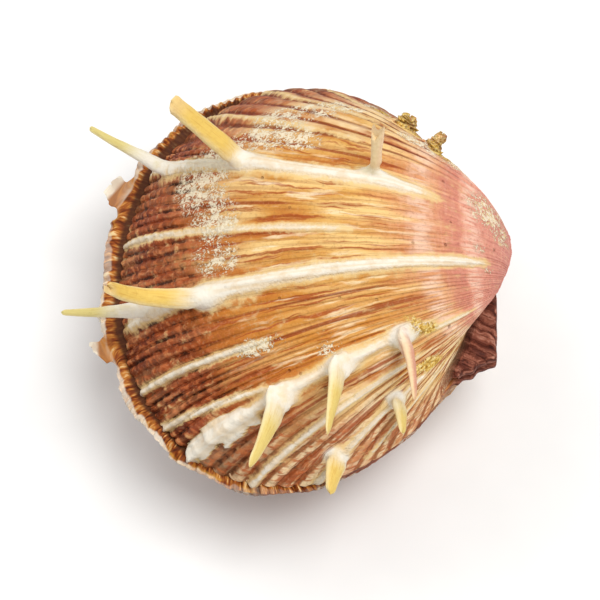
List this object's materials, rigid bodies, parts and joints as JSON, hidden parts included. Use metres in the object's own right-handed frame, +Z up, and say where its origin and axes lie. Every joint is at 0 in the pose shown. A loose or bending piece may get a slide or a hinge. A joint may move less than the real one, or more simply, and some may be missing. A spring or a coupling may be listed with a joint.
{
  "type": "spiny oyster shell",
  "caption": "Closed pair of ribbed, domed seashell valves with long flattened spines and small ears at the hinge, resting on a flat attachment scar.",
  "frame": {"origin": "on the flat attachment scar under the lower valve, straight below the middle of the shell's opening", "axes": "+Z up from the scar to the upper valve's crown, +X to the beaks and hinge, -Y to the side that the picture sees in front"},
  "size_m": [0.096, 0.1067, 0.0709],
  "materials": {
    "upper_shell": "worn satin shell, tan and pink with white ribs and cream spines",
    "lower_shell": "worn satin shell, red-brown with a pale fringe at the edge"
  },
  "bodies": {
    "root": {"upper_valve": "upper_shell", "lower_valve": "lower_shell"}
  },
  "joints": []
}
